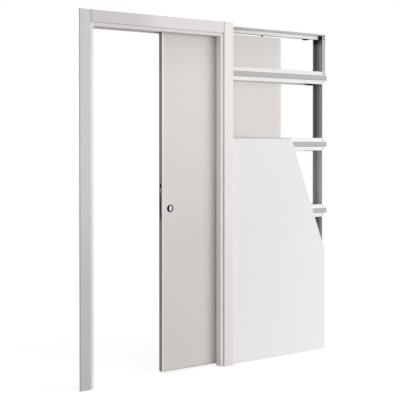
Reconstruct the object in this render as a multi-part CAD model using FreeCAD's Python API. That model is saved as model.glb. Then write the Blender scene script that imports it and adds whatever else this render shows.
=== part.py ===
import FreeCAD
import Part
import math
import os

# Pocket door frame with its leaf half open, in millimetres.
# The origin is under the middle of the floor plate at the pocket's mouth.
# X runs along the wall into the pocket, Y into the wall from the finished side, Z up.

# Driving dimensions of the passage and the wall
passage_width = 900.0
passage_height = 2100.0
pocket_length = 904.0
wall_thickness = 150.0
board_thickness = 12.5
board_floor_gap = 6.0

# Timber linings and flat casings
jamb_thickness = 22.0
jamb_reveal = 20.0
casing_width = 70.0
casing_thickness = 12.0
casing_edge_radius = 2.0
tongue_thickness = 6.0
tongue_depth = 16.0

# Door leaf
door_thickness = 35.0
door_face_gap = 6.5
door_floor_gap = 12.0
door_head_entry = 26.0
door_overlap = 45.0
door_edge_radius = 2.0
door_rest_opening = 498.0
closed_clearance = 5.0
open_end_clearance = 45.0
lipping_width = 14.0

# Galvanised sheet pieces
sheet = 2.0
batten_sheet = 1.5
bend_radius = 1.5
lip_depth = 11.0
upright_flange = 30.0
upright_lip = 9.0
web_rib_depth = 5.0
web_rib_width = 13.0
web_rib_offset = 17.5
web_rib_slope = 3.0
post_width = 40.0
batten_height = 86.0
ridge_height = 12.5
ridge_crest = 28.0
ridge_foot = 34.0
batten_pitch = 457.0
lowest_batten_centre = 44.0
batten_count = 5
rear_row_drop = 4.5
batten_end_inset = 10.0
batten_cope = 20.0

# Sliding gear
track_width = 44.0
track_height = 34.0
track_wall = 3.0
track_slot = 14.0
track_front_gap = 2.0
track_rear_gap = 12.0
track_to_leaf = 12.0
wheel_radius = 11.0
wheel_width = 8.0
wheel_bore_clearance = 0.1
wheel_ride = 0.3
axle_radius = 3.0
axle_inset = 22.0
trolley_half_length = 35.0
trolley_width = 15.0
trolley_height = 18.0
trolley_lift = 4.0
wheel_side_gap = 1.0
bolt_radius = 4.0
nut_flats = 13.0
nut_sides = 6
nut_height = 6.0
hanger_plate_width = 26.0
hanger_plate_thickness = 4.0
hanger_hole_clearance = 0.2
hanger_from_edge = 150.0
stop_length = 35.0
stop_clearance = 5.0
stop_width = 24.0
stop_drop = 7.0
stop_side_gap = 0.4

# Door furniture
pull_height = 1018.0
pull_from_lead = 60.0
pull_rim_radius = 27.0
pull_rim_proud = 1.5
pull_cup_radius = 24.0
pull_cup_depth = 10.0
pull_wall = 1.0
lock_plate_centre = 1030.0
lock_plate_length = 168.0
lock_plate_width = 20.0
lock_plate_thickness = 3.0
lock_slot_length = 42.0
lock_slot_width = 8.0
edge_pull_centre = 1160.0
edge_pull_length = 26.0
edge_pull_width = 18.0
edge_pull_depth = 10.0
edge_pull_notch = 3.0
recess_clearance = 0.2
strike_plate_length = 110.0
strike_plate_width = 24.0
strike_plate_thickness = 2.0
strike_slot_width = 12.0
strike_slot_depth = 14.0

# Floor pieces
floor_plate_length = 110.0
floor_plate_thickness = 3.0
floor_hole_radius = 3.5
floor_hole_inset = 12.0
floor_hole_pitch = 38.0
guide_length = 56.0
guide_clearance = 5.0
guide_cheek = 6.0
guide_height = 34.0
guide_base = 3.0
guide_edge_radius = 2.0

# Wall fixing holes in the rear upright
wall_hole_radius = 4.0
wall_hole_low = 300.0
wall_hole_pitch = 1500.0
wall_hole_count = 2

# Plasterboard and its cut
board_rows = 4
board_cut_run = 298.0
board_cut_drop = 771.0
board_side_inset = 28.0

# Planes worked out from the sizes above
mouth_x = -(floor_plate_length / 2 + jamb_thickness)
strike_x = mouth_x - passage_width
end_x = mouth_x + pocket_length
wall_half = wall_thickness / 2
frame_half = wall_half - board_thickness - ridge_height
door_half = door_thickness / 2
slot_half = door_half + door_face_gap
door_top = passage_height + door_head_entry
head_top = passage_height + jamb_thickness
track_bottom = door_top + track_to_leaf
header_top = track_bottom + track_height + sheet
lip_bottom = header_top - lip_depth
casing_top = passage_height + jamb_reveal + casing_width
lead_x = strike_x + door_rest_opening
door_width = passage_width - closed_clearance + door_overlap
trail_x = lead_x + door_width
open_travel = end_x - sheet - open_end_clearance - trail_x
close_travel = door_rest_opening - closed_clearance
post_x = mouth_x + jamb_thickness
guide_x = post_x + post_width + 2 * guide_clearance
lead_hanger = lead_x + hanger_from_edge
trail_hanger = trail_x - hanger_from_edge
flange_end = end_x - batten_cope
board_end = end_x - board_side_inset
board_top = lowest_batten_centre + (board_rows - 1) * batten_pitch + batten_height / 2
cut_foot = board_top - board_cut_drop


def block(x0, x1, y0, y1, z0, z1):
    """Upright rectangular solid between two corners."""
    return Part.makeBox(x1 - x0, y1 - y0, z1 - z0, FreeCAD.Vector(x0, y0, z0))


def rounded_wire(points, radii):
    """Closed wire through points, each corner eased to its own radius."""
    count = len(points)
    entries = []
    for i in range(count):
        here = points[i]
        before = (points[i - 1] - here).normalize()
        after = (points[(i + 1) % count] - here).normalize()
        if radii[i] <= 0:
            entries.append((here, here, here))
            continue
        half = before.getAngle(after) / 2
        run = radii[i] / math.tan(half)
        bisector = (before + after).normalize()
        centre = here + bisector * (radii[i] / math.sin(half))
        entries.append((here + before * run, centre - bisector * radii[i], here + after * run))
    edges = []
    for i in range(count):
        start, middle, finish = entries[i]
        following = entries[(i + 1) % count][0]
        if radii[i] > 0:
            edges.append(Part.Arc(start, middle, finish).toShape())
        edges.append(Part.LineSegment(finish, following).toShape())
    return Part.Wire(edges)


def along_x(outline, radii, x0, x1):
    """Prism along X from a (y, z) outline."""
    points = [FreeCAD.Vector(x0, y, z) for y, z in outline]
    return Part.Face(rounded_wire(points, radii)).extrude(FreeCAD.Vector(x1 - x0, 0, 0))


def along_z(outline, radii, z0, z1):
    """Prism along Z from an (x, y) outline."""
    points = [FreeCAD.Vector(x, y, z0) for x, y in outline]
    return Part.Face(rounded_wire(points, radii)).extrude(FreeCAD.Vector(0, 0, z1 - z0))


def folded(path, thickness):
    """Outline and corner radii of a sheet bent along path, its thickness to the left."""
    steps = []
    for (u0, v0), (u1, v1) in zip(path, path[1:]):
        length = math.hypot(u1 - u0, v1 - v0)
        steps.append(((u1 - u0) / length, (v1 - v0) / length))
    inner = []
    path_radii = []
    inner_radii = []
    for i, (u, v) in enumerate(path):
        back = steps[max(i - 1, 0)]
        ahead = steps[min(i, len(steps) - 1)]
        share = thickness / (1 + back[0] * ahead[0] + back[1] * ahead[1])
        inner.append((u - (back[1] + ahead[1]) * share, v + (back[0] + ahead[0]) * share))
        turn = back[0] * ahead[1] - back[1] * ahead[0]
        if abs(turn) < 1e-9:
            path_radii.append(0)
            inner_radii.append(0)
        elif turn > 0:
            path_radii.append(bend_radius + thickness)
            inner_radii.append(bend_radius)
        else:
            path_radii.append(bend_radius)
            inner_radii.append(bend_radius + thickness)
    return path + inner[::-1], path_radii + inner_radii[::-1]


def rear_of(shape):
    """The same piece on the far side of the wall's middle plane."""
    return shape.mirror(FreeCAD.Vector(0, 0, 0), FreeCAD.Vector(0, 1, 0))


def rod(radius, length, x, y, z, direction):
    """Round bar from a point along a direction."""
    return Part.makeCylinder(radius, length, FreeCAD.Vector(x, y, z), FreeCAD.Vector(*direction))


def turned(profile):
    """Solid of revolution about Y from (radius, y) points."""
    points = [FreeCAD.Vector(radius, along, 0) for radius, along in profile]
    face = Part.Face(Part.makePolygon(points + points[:1]))
    return face.revolve(FreeCAD.Vector(0, 0, 0), FreeCAD.Vector(0, 1, 0), 360)


def strike_jamb():
    """Undivided lining that the closed leaf meets, with its strike let in."""
    lining = block(strike_x - jamb_thickness, strike_x, -wall_half, frame_half, 0, lip_bottom)
    seat = block(
        strike_x - strike_plate_thickness, strike_x,
        -strike_plate_width / 2, strike_plate_width / 2,
        lock_plate_centre - strike_plate_length / 2, lock_plate_centre + strike_plate_length / 2,
    )
    mortise = block(
        strike_x - strike_slot_depth, strike_x,
        -strike_slot_width / 2, strike_slot_width / 2,
        lock_plate_centre - lock_slot_length / 2, lock_plate_centre + lock_slot_length / 2,
    )
    return lining.cut(seat).cut(mortise)


def strike_plate():
    """Flush plate on the strike lining with the slot for the hook bolt."""
    plate = block(
        strike_x - strike_plate_thickness, strike_x,
        -strike_plate_width / 2 + recess_clearance, strike_plate_width / 2 - recess_clearance,
        lock_plate_centre - strike_plate_length / 2 + recess_clearance,
        lock_plate_centre + strike_plate_length / 2 - recess_clearance,
    )
    slot = block(
        strike_x - strike_plate_thickness, strike_x,
        -strike_slot_width / 2, strike_slot_width / 2,
        lock_plate_centre - lock_slot_length / 2, lock_plate_centre + lock_slot_length / 2,
    )
    return plate.cut(slot)


def pocket_jamb(face):
    """Half lining of the pocket's mouth, from the leaf's slot out to a face of the wall."""
    return block(mouth_x, mouth_x + jamb_thickness, -face, -slot_half, 0, lip_bottom)


def head_jamb(face):
    """Half head lining, from the slot for the top of the leaf out to a face of the wall."""
    return block(strike_x, mouth_x, -face, -slot_half, passage_height, head_top)


def upright_casing(inner_x, outward):
    """Full-height flat casing with a tongue behind the lining's edge.

    inner_x is the lining's face at the passage, outward the way the casing lies from it.
    """
    near = inner_x + outward * jamb_reveal
    far = near + outward * casing_width
    tongue = inner_x + outward * jamb_thickness
    tongue_far = tongue + outward * tongue_thickness
    face = -wall_half - casing_thickness
    outline = [
        (near, -wall_half), (near, face), (far, face), (far, -wall_half),
    ]
    edges = [0, casing_edge_radius, casing_edge_radius, 0]
    board = along_z(outline, edges, 0, casing_top)
    x0, x1 = sorted((tongue, tongue_far))
    return board.fuse(block(x0, x1, -wall_half, -wall_half + tongue_depth, 0, lip_bottom)).removeSplitter()


def head_casing():
    """Flat casing that butts between the two upright casings."""
    low = passage_height + jamb_reveal
    face = -wall_half - casing_thickness
    outline = [
        (-wall_half, low), (face, low), (face, casing_top), (-wall_half, casing_top),
    ]
    edges = [0, casing_edge_radius, casing_edge_radius, 0]
    board = along_x(outline, edges, strike_x - jamb_reveal, mouth_x + jamb_reveal)
    tongue = block(
        strike_x, mouth_x, -wall_half, -wall_half + tongue_depth, head_top, head_top + tongue_thickness,
    )
    return board.fuse(tongue).removeSplitter()


def header_channel():
    """Folded channel over the whole width, its lips resting on the uprights."""
    path = [
        (frame_half, lip_bottom), (frame_half, header_top),
        (-frame_half, header_top), (-frame_half, lip_bottom),
    ]
    return along_x(*folded(path, sheet), strike_x - jamb_thickness, end_x)


def sliding_track():
    """Extruded track with a slot below for the hanger bolts."""
    x0 = strike_x + track_front_gap
    x1 = end_x - upright_flange - track_rear_gap
    half = track_width / 2
    top = track_bottom + track_height
    body = block(x0, x1, -half, half, track_bottom, top)
    cavity = block(
        x0, x1, -half + track_wall, half - track_wall, track_bottom + track_wall, top - track_wall,
    )
    slot = block(x0, x1, -track_slot / 2, track_slot / 2, track_bottom, track_bottom + track_wall)
    return body.cut(cavity).cut(slot)


def track_stop(face_x, outward):
    """Rubber stop block clamped in the track where the trolley ends its run."""
    far_x = face_x + outward * stop_length
    x0, x1 = sorted((face_x, far_x))
    floor = track_bottom + track_wall
    inside = block(
        x0, x1,
        -track_width / 2 + track_wall + stop_side_gap, track_width / 2 - track_wall - stop_side_gap,
        floor, floor + trolley_lift + trolley_height,
    )
    neck = block(
        x0, x1, -track_slot / 2 + stop_side_gap, track_slot / 2 - stop_side_gap, track_bottom, floor,
    )
    clamp = block(x0, x1, -stop_width / 2, stop_width / 2, track_bottom - stop_drop, track_bottom)
    return inside.fuse([neck, clamp]).removeSplitter()


def mouth_post():
    """Slim channel behind the half lining that the battens are fixed to."""
    path = [
        (post_x + post_width, -frame_half), (post_x, -frame_half),
        (post_x, -slot_half), (post_x + post_width, -slot_half),
    ]
    outline, radii = folded(path[::-1], sheet)
    return along_z(outline, radii, floor_plate_thickness, lip_bottom)


def rear_upright():
    """Ribbed channel at the pocket's end, with a tongue that closes the header."""
    tip = end_x - upright_flange
    lip = frame_half - upright_lip
    web = [(end_x, frame_half)]
    for middle in (web_rib_offset, -web_rib_offset):
        crest = web_rib_width / 2 - web_rib_slope
        web += [
            (end_x, middle + web_rib_width / 2),
            (end_x - web_rib_depth, middle + crest),
            (end_x - web_rib_depth, middle - crest),
            (end_x, middle - web_rib_width / 2),
        ]
    web.append((end_x, -frame_half))
    path = [(tip, -lip), (tip, -frame_half)] + web[::-1] + [(tip, frame_half), (tip, lip)]
    outline, radii = folded(path, sheet)
    inner = frame_half - sheet
    crown = header_top - sheet
    corners = [(-inner, lip_bottom), (inner, lip_bottom), (inner, crown), (-inner, crown)]
    eased = 2 * bend_radius
    tongue = along_x(corners, [0, 0, eased, eased], end_x - sheet, end_x)
    channel = along_z(outline, radii, 0, lip_bottom).fuse(tongue)
    for step in range(wall_hole_count):
        height = wall_hole_low + step * wall_hole_pitch
        channel = channel.cut(rod(wall_hole_radius, sheet, end_x - sheet, 0, height, (1, 0, 0)))
    return channel


def batten(centre, ridge_end):
    """Hat-section rail across the pocket, its ridge carrying the board up to ridge_end."""
    half = batten_height / 2
    foot = ridge_foot / 2
    crest = ridge_crest / 2
    proud = -frame_half - ridge_height + batten_sheet
    path = [
        (-frame_half, centre - half), (-frame_half, centre - foot), (proud, centre - crest),
        (proud, centre + crest), (-frame_half, centre + foot), (-frame_half, centre + half),
    ]
    outline, radii = folded(path, batten_sheet)
    rail = along_x(outline, radii, post_x + batten_end_inset, ridge_end)
    if ridge_end > flange_end:
        for low, high in ((centre - half, centre - foot), (centre + foot, centre + half)):
            rail = rail.cut(block(flange_end, ridge_end, -frame_half - batten_sheet, -frame_half, low, high))
    return rail


def plasterboard():
    """Board over the lower pocket, sawn away on a slant to show the frame."""
    x0 = post_x + batten_end_inset
    corners = [
        (x0, board_floor_gap), (board_end, board_floor_gap), (board_end, cut_foot),
        (board_end - board_cut_run, board_top), (x0, board_top),
    ]
    points = [FreeCAD.Vector(x, -wall_half, z) for x, z in corners]
    face = Part.Face(Part.makePolygon(points + points[:1]))
    return face.extrude(FreeCAD.Vector(0, board_thickness, 0))


def floor_plate():
    """Fixing plate under the mouth posts, with four screw holes."""
    half = floor_plate_length / 2
    plate = block(-half, half, -frame_half, frame_half, 0, floor_plate_thickness)
    across = frame_half - floor_hole_inset
    for along in (half - floor_hole_inset, half - floor_hole_inset - floor_hole_pitch):
        for side in (across, -across):
            plate = plate.cut(rod(floor_hole_radius, floor_plate_thickness, along, side, 0, (0, 0, 1)))
    return plate


def floor_guide():
    """Trough that keeps the foot of the leaf in line."""
    inner = door_half + guide_clearance
    outer = inner + guide_cheek
    low = floor_plate_thickness
    outline = [
        (-outer, low), (outer, low), (outer, low + guide_height), (inner, low + guide_height),
        (inner, low + guide_base), (-inner, low + guide_base), (-inner, low + guide_height),
        (-outer, low + guide_height),
    ]
    cheek_edges = [guide_edge_radius, guide_edge_radius]
    edges = [0, 0] + cheek_edges + [0, 0] + cheek_edges
    return along_x(outline, edges, guide_x, guide_x + guide_length)


def pull_recess(radius, depth):
    """Round pocket in the leaf's finished face for the flush pull."""
    return rod(radius, depth, lead_x + pull_from_lead, -door_half, pull_height, (0, 1, 0))


def edge_recess(centre, length, width, depth):
    """Mortise in the leaf's leading edge."""
    return block(lead_x, lead_x + depth, -width / 2, width / 2, centre - length / 2, centre + length / 2)


def door_leaf():
    """Flush leaf between its two lippings, let in for the pulls and the hanger plates."""
    leaf = block(
        lead_x + lipping_width, trail_x - lipping_width, -door_half, door_half, door_floor_gap, door_top,
    )
    pocket = pull_recess(pull_cup_radius + recess_clearance, pull_cup_depth + recess_clearance)
    seats = [hanger_seat(x, recess_clearance) for x in (lead_hanger, trail_hanger)]
    return leaf.cut([pocket, rear_of(pocket)] + seats)


def lipping(outer_x, inward):
    """Solid strip on an upright edge of the leaf, with eased corners."""
    inner_x = outer_x + inward * lipping_width
    outline = [
        (outer_x, -door_half), (inner_x, -door_half), (inner_x, door_half), (outer_x, door_half),
    ]
    return along_z(outline, [door_edge_radius, 0, 0, door_edge_radius], door_floor_gap, door_top)


def lead_lipping():
    """Leading strip, let in for the lock's face plate and the edge pull."""
    lock = edge_recess(lock_plate_centre, lock_plate_length, lock_plate_width, lock_plate_thickness)
    edge = edge_recess(edge_pull_centre, edge_pull_length, edge_pull_width, edge_pull_depth)
    return lipping(lead_x, 1).cut([lock, edge])


def flush_pull():
    """Turned cup with a thin rim, on the finished face."""
    outer = -pull_rim_proud
    floor = pull_cup_depth
    inside = pull_cup_radius - pull_wall
    profile = [
        (0, floor), (pull_cup_radius, floor), (pull_cup_radius, 0), (pull_rim_radius, 0),
        (pull_rim_radius, outer), (inside, outer), (inside, floor - pull_wall), (0, floor - pull_wall),
    ]
    cup = turned(profile)
    cup.translate(FreeCAD.Vector(lead_x + pull_from_lead, -door_half, pull_height))
    return cup


def lock_face_plate():
    """Flush plate on the leading edge with the hook bolt's slot."""
    plate = edge_recess(
        lock_plate_centre, lock_plate_length - 2 * recess_clearance,
        lock_plate_width - 2 * recess_clearance, lock_plate_thickness,
    )
    slot = edge_recess(lock_plate_centre, lock_slot_length, lock_slot_width, lock_plate_thickness / 2)
    return plate.cut(slot)


def edge_pull():
    """Small pull block let into the leading edge, with a shallow notch."""
    body = edge_recess(
        edge_pull_centre, edge_pull_length - 2 * recess_clearance,
        edge_pull_width - 2 * recess_clearance, edge_pull_depth,
    )
    notch = edge_recess(
        edge_pull_centre, edge_pull_length / 2, edge_pull_width / 2, edge_pull_notch,
    )
    return body.cut(notch)


def hanger_seat(x, margin):
    """Block that a hanger plate takes up in the leaf's top edge, wider all round by margin."""
    length = trolley_half_length + margin
    width = hanger_plate_width / 2 + margin
    return block(x - length, x + length, -width, width, door_top - hanger_plate_thickness, door_top)


def hanger_plate(x):
    """Plate let into the leaf's top edge that takes the hanger bolt."""
    low = door_top - hanger_plate_thickness
    hole = rod(bolt_radius + hanger_hole_clearance, hanger_plate_thickness, x, 0, low, (0, 0, 1))
    return hanger_seat(x, 0).cut(hole)


def trolley(x):
    """Carriage in the track with its axles and the bolt down to the leaf."""
    low = track_bottom + track_wall + trolley_lift
    half = trolley_width / 2
    body = block(
        x - trolley_half_length, x + trolley_half_length, -half, half, low, low + trolley_height,
    )
    bolt_foot = door_top - hanger_plate_thickness
    bolt = rod(bolt_radius, low - bolt_foot, x, 0, bolt_foot, (0, 0, 1))
    nut_radius = nut_flats / 2 / math.cos(math.pi / nut_sides)
    corners = []
    for corner in range(nut_sides):
        turn = 2 * math.pi * corner / nut_sides
        offset = FreeCAD.Vector(math.cos(turn), math.sin(turn), 0) * nut_radius
        corners.append(FreeCAD.Vector(x, 0, door_top) + offset)
    nut = Part.Face(Part.makePolygon(corners + corners[:1])).extrude(FreeCAD.Vector(0, 0, nut_height))
    reach = half + wheel_side_gap + wheel_width
    axles = [
        rod(axle_radius, 2 * reach, x + side * axle_inset, -reach, wheel_centre(), (0, 1, 0))
        for side in (-1, 1)
    ]
    return body.fuse([bolt, nut] + axles).removeSplitter()


def wheel_centre():
    """Height of the trolley's axles."""
    return track_bottom + track_wall + wheel_radius + wheel_ride


def wheels(centres):
    """Rollers of every trolley, four to a carriage."""
    near = trolley_width / 2 + wheel_side_gap
    bore = axle_radius + wheel_bore_clearance
    profile = [(bore, 0), (wheel_radius, 0), (wheel_radius, wheel_width), (bore, wheel_width)]
    rollers = []
    for x in centres:
        for side in (-1, 1):
            for start in (near, -near - wheel_width):
                roller = turned(profile)
                roller.translate(FreeCAD.Vector(x + side * axle_inset, start, wheel_centre()))
                rollers.append(roller)
    return Part.Compound(rollers)


def build():
    """Every named piece of the frame and the leaf."""
    front_stop = lead_hanger - trolley_half_length - close_travel - stop_clearance
    rear_stop = trail_hanger + trolley_half_length + open_travel + stop_clearance
    pieces = {
        "strike_jamb": strike_jamb(),
        "strike_plate": strike_plate(),
        "pocket_jamb_front": pocket_jamb(wall_half),
        "pocket_jamb_rear": rear_of(pocket_jamb(frame_half)),
        "head_jamb_front": head_jamb(wall_half),
        "head_jamb_rear": rear_of(head_jamb(frame_half)),
        "casing_strike": upright_casing(strike_x, -1),
        "casing_pocket": upright_casing(mouth_x, 1),
        "casing_head": head_casing(),
        "header_channel": header_channel(),
        "sliding_track": sliding_track(),
        "track_stop_front": track_stop(front_stop, -1),
        "track_stop_rear": track_stop(rear_stop, 1),
        "mouth_post_front": mouth_post(),
        "mouth_post_rear": rear_of(mouth_post()),
        "rear_upright": rear_upright(),
        "plasterboard": plasterboard(),
        "floor_plate": floor_plate(),
        "floor_guide": floor_guide(),
        "door_leaf": door_leaf(),
        "lipping_lead": lead_lipping(),
        "lipping_trail": lipping(trail_x, -1),
        "flush_pull_front": flush_pull(),
        "flush_pull_rear": rear_of(flush_pull()),
        "lock_face_plate": lock_face_plate(),
        "edge_pull": edge_pull(),
        "hanger_plate_lead": hanger_plate(lead_hanger),
        "hanger_plate_trail": hanger_plate(trail_hanger),
        "trolley_lead": trolley(lead_hanger),
        "trolley_trail": trolley(trail_hanger),
        "trolley_wheels": wheels((lead_hanger, trail_hanger)),
    }
    for number in range(batten_count):
        centre = lowest_batten_centre + number * batten_pitch
        covered = centre + batten_height / 2 < cut_foot
        ridge_end = flange_end if covered else end_x
        rear_centre = max(centre - rear_row_drop, lowest_batten_centre)
        pieces["batten_front_%d" % (number + 1)] = batten(centre, ridge_end)
        pieces["batten_rear_%d" % (number + 1)] = rear_of(batten(rear_centre, ridge_end))
    return pieces


os.makedirs("parts", exist_ok=True)
for name, shape in build().items():
    shape.exportStep("parts/%s.step" % name)
print("travel: %.1f to %.1f mm" % (-close_travel, open_travel))
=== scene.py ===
"""Looks of the pocket door frame: finishes, fixings, turned furniture and the studio round it."""
import logging
import math
from dataclasses import dataclass
from enum import Enum

import bmesh
import bpy
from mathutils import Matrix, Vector


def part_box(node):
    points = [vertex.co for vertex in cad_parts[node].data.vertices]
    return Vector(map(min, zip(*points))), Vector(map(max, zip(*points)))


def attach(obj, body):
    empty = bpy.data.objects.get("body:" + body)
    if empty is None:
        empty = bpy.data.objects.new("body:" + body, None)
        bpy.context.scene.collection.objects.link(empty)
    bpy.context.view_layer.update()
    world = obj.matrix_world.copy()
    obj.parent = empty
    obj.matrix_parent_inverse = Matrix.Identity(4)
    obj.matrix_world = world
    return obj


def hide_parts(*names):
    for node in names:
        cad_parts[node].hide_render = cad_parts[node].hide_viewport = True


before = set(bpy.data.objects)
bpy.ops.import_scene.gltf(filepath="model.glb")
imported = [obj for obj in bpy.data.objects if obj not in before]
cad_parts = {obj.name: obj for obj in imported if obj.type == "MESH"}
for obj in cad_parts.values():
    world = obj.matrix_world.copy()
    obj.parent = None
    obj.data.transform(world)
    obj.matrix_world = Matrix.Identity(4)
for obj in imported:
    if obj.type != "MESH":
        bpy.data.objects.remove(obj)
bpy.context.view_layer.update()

LOG = logging.getLogger("pocket_door_frame")
WHITE = (1.0, 1.0, 1.0)
FULL = (0.0, 1.0)
NOISE_SPAN = (0.3, 0.7)
SLOW_DETAIL = 3.0
FINE_DETAIL = 2.0
ON_AXIS = 1e-7
PLATE_SCREW = {"Head Radius": 0.0042, "Head Height": 0.0012}
HANGER_SCREW = {"Head Radius": 0.0036, "Head Height": 0.0014}
Colour = tuple[float, float, float]
Place = tuple[float, float, float]
Span = tuple[float, float]
Profile = list[tuple[float, float]]
Marks = list[tuple[Vector, Vector]]
Node = bpy.types.Node
Piece = bpy.types.Object
Socket = bpy.types.NodeSocket
Sockets = bpy.types.bpy_prop_collection
Shape = bmesh.types.BMesh


class Body(Enum):
    """Rigid bodies that pieces ride on."""

    FRAME = "frame"
    DOOR = "door"


class Side(Enum):
    """Side of the wall, as the sign of Y that it faces."""

    FINISHED = -1.0
    FAR = 1.0


class Axis(Enum):
    """Axis that a finish changes along, as its place in a vector."""

    ALONG = 0
    UP = 2


class Grain(Enum):
    """Direction that drawn or brushed lines run in, as a stretch of the pattern."""

    ALONG_X = (3.0, 900.0, 900.0)
    ALONG_Z = (900.0, 900.0, 3.0)


class Kind(Enum):
    """Kinds of socket that a node group takes or gives, as the end of their type."""

    FLOAT = "Float"
    WHOLE = "Int"
    VECTOR = "Vector"
    COLOUR = "Color"
    MATERIAL = "Material"
    GEOMETRY = "Geometry"


Kinds = dict[str, Kind]


def linear(red: int, green: int, blue: int) -> Colour:
    """Turn a colour as seen on a screen into the light it stands for.

    Args:
        red: Red level, 0 to 255.
        green: Green level.
        blue: Blue level.

    Returns:
        Three linear values from 0 to 1.
    """
    def one(level: int) -> float:
        """Linear value of one level."""
        share = level / 255.0
        return share / 12.92 if share <= 0.04045 else ((share + 0.055) / 1.055) ** 2.4

    return one(red), one(green), one(blue)


def pair(red: int, green: int, blue: int, drop: int) -> tuple[Colour, Colour]:
    """Tone of a finish and the deeper one that it varies to, for levels of red, green and blue."""
    return linear(red, green, blue), linear(red - drop, green - drop, blue - drop)


class Wiring:
    """Adds nodes to a tree and joins their sockets."""

    def __init__(self, tree: bpy.types.NodeTree) -> None:
        """Keep the tree that the nodes go into, and empty it."""
        self.tree = tree
        tree.nodes.clear()

    def add(self, kind: str, inputs: dict | None = None, settings: dict | None = None) -> Node:
        """Add a node.

        Args:
            kind: Node type.
            inputs: Socket name or number to a value or to the socket that feeds it.
            settings: Properties of the node, set before its inputs.

        Returns:
            The new node.
        """
        node = self.tree.nodes.new(kind)
        for name, value in (settings or {}).items():
            setattr(node, name, value)
        for key, value in (inputs or {}).items():
            self.feed(node.inputs[key], value)
        return node

    def out(self, kind: str, inputs: dict | None = None, settings: dict | None = None) -> Socket:
        """First output of a new node."""
        return self.add(kind, inputs, settings).outputs[0]

    def feed(self, socket: Socket, value: object) -> None:
        """Join a socket to the one that feeds it, or set its value.

        Args:
            socket: The socket to feed.
            value: Another socket, or a value; a colour gets a full alpha.
        """
        if isinstance(value, Socket):
            self.tree.links.new(value, socket)
        elif socket.type == "RGBA":
            socket.default_value = (*value, 1.0)
        else:
            socket.default_value = value

    def math(self, operation: str, first: object, second: object = 0.0) -> Socket:
        """Socket with the result of a sum on two values or sockets."""
        return self.out("ShaderNodeMath", {0: first, 1: second}, {"operation": operation})

    def vectors(self, operation: str, inputs: dict) -> Sockets:
        """Outputs of a sum on vectors."""
        return self.add("ShaderNodeVectorMath", inputs, {"operation": operation}).outputs

    def length(self, vector: Socket) -> Socket:
        """Socket with the length of a vector."""
        return self.vectors("LENGTH", {0: vector})[1]

    def split(self, vector: Socket) -> Sockets:
        """Sockets with the three parts of a vector."""
        return self.add("ShaderNodeSeparateXYZ", {0: vector}).outputs

    def outlook(self) -> Sockets:
        """Sockets with the three parts of the way that a face looks."""
        return self.split(self.add("ShaderNodeNewGeometry").outputs["True Normal"])

    def noise(self, place: Socket, scale: object, detail: float) -> Sockets:
        """Outputs of a noise."""
        return self.add("ShaderNodeTexNoise", {"Vector": place, "Scale": scale, "Detail": detail}).outputs

    def between(self, share: object, low: object, high: object) -> Socket:
        """Socket with a colour between two others."""
        return self.add("ShaderNodeMix", {0: share, 6: low, 7: high}, {"data_type": "RGBA"}).outputs[2]

    def remap(self, value: object, span: Span, low: object = 0.0, high: object = 1.0) -> Socket:
        """Socket with a value carried from one span to another and held inside it."""
        return self.out("ShaderNodeMapRange", {0: value, 1: span[0], 2: span[1], 3: low, 4: high})

    def within(self, value: Socket, span: Span) -> Socket:
        """Socket that is 1 between two limits and 0 outside them."""
        above, below = self.math("GREATER_THAN", value, span[0]), self.math("LESS_THAN", value, span[1])
        return self.math("MULTIPLY", above, below)


class Group(Wiring):
    """Wiring of a node group, with its inputs and outputs."""

    def __init__(self, title: str, kind: str, inputs: Kinds, outputs: Kinds) -> None:
        """Make the group.

        Args:
            title: Name of the group.
            kind: Type of its tree.
            inputs: Name and kind of each input.
            outputs: Name and kind of each output.
        """
        super().__init__(bpy.data.node_groups.new(title, kind))
        for way, sockets in (("INPUT", inputs), ("OUTPUT", outputs)):
            for name, sort in sockets.items():
                self.tree.interface.new_socket(name, in_out=way, socket_type="NodeSocket" + sort.value)
        self.given = self.tree.nodes.new("NodeGroupInput").outputs
        self.wanted = self.tree.nodes.new("NodeGroupOutput").inputs


class Surface(Wiring):
    """Wiring of one material, with its shader and the place on the piece."""

    def __init__(self, tree: bpy.types.NodeTree) -> None:
        """Start an empty tree with the shader, its output and object coordinates.

        Args:
            tree: The material's tree.
        """
        super().__init__(tree)
        self.shader = self.add("ShaderNodeBsdfPrincipled")
        self.add("ShaderNodeOutputMaterial", {"Surface": self.shader.outputs[0]})
        self.place = self.add("ShaderNodeTexCoord").outputs["Object"]

    def give(self, name: str, value: object) -> None:
        """Feed or set one of the shader's inputs."""
        self.feed(self.shader.inputs[name], value)

    def painted(self) -> Socket:
        """Socket that feeds the shader's colour so far."""
        return self.shader.inputs["Base Color"].links[0].from_socket


class EffectGroup:
    """Shared surface effect, built once as a shader node group."""

    title: str
    inputs: Kinds
    outputs: Kinds

    @classmethod
    def tree(cls) -> bpy.types.NodeTree:
        """Node group of the effect, made at its first use.

        Returns:
            The group.
        """
        known = bpy.data.node_groups.get(cls.title)
        if known:
            return known
        wire = Group(cls.title, "ShaderNodeTree", cls.inputs, cls.outputs)
        cls.fill(wire)
        return wire.tree

    @classmethod
    def fill(cls, wire: Group) -> None:
        """Add the nodes between the group's inputs and outputs."""
        raise NotImplementedError

    @classmethod
    def place(cls, wire: Wiring, inputs: dict) -> Sockets:
        """Outputs of the group, put in a material with values or sockets for its inputs."""
        return wire.add("ShaderNodeGroup", inputs, {"node_tree": cls.tree()}).outputs


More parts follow.
